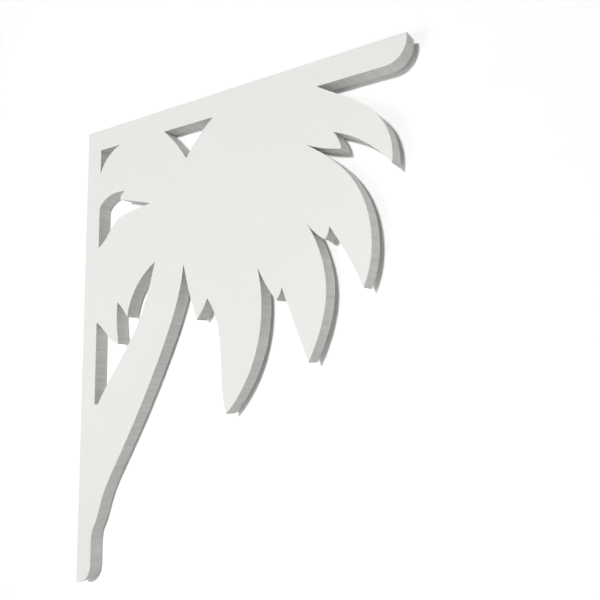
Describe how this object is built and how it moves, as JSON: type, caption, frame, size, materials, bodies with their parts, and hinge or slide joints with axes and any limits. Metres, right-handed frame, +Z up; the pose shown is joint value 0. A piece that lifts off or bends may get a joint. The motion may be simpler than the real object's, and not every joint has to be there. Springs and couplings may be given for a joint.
{
  "type": "decorative bracket",
  "caption": "Flat fretwork corner bracket with a palm tree between a leg for the post and a bar for the beam.",
  "frame": {"origin": "the top corner of the board, where the post and the beam meet, at the middle of its thickness", "axes": "+X out from the post along the bar, +Y from the shown face to the back through the board's thickness, +Z up along the leg"},
  "size_m": [0.482, 0.019, 0.61],
  "materials": {
    "board": "smooth matt white"
  },
  "bodies": {
    "root": {"bracket": "board"}
  },
  "joints": []
}
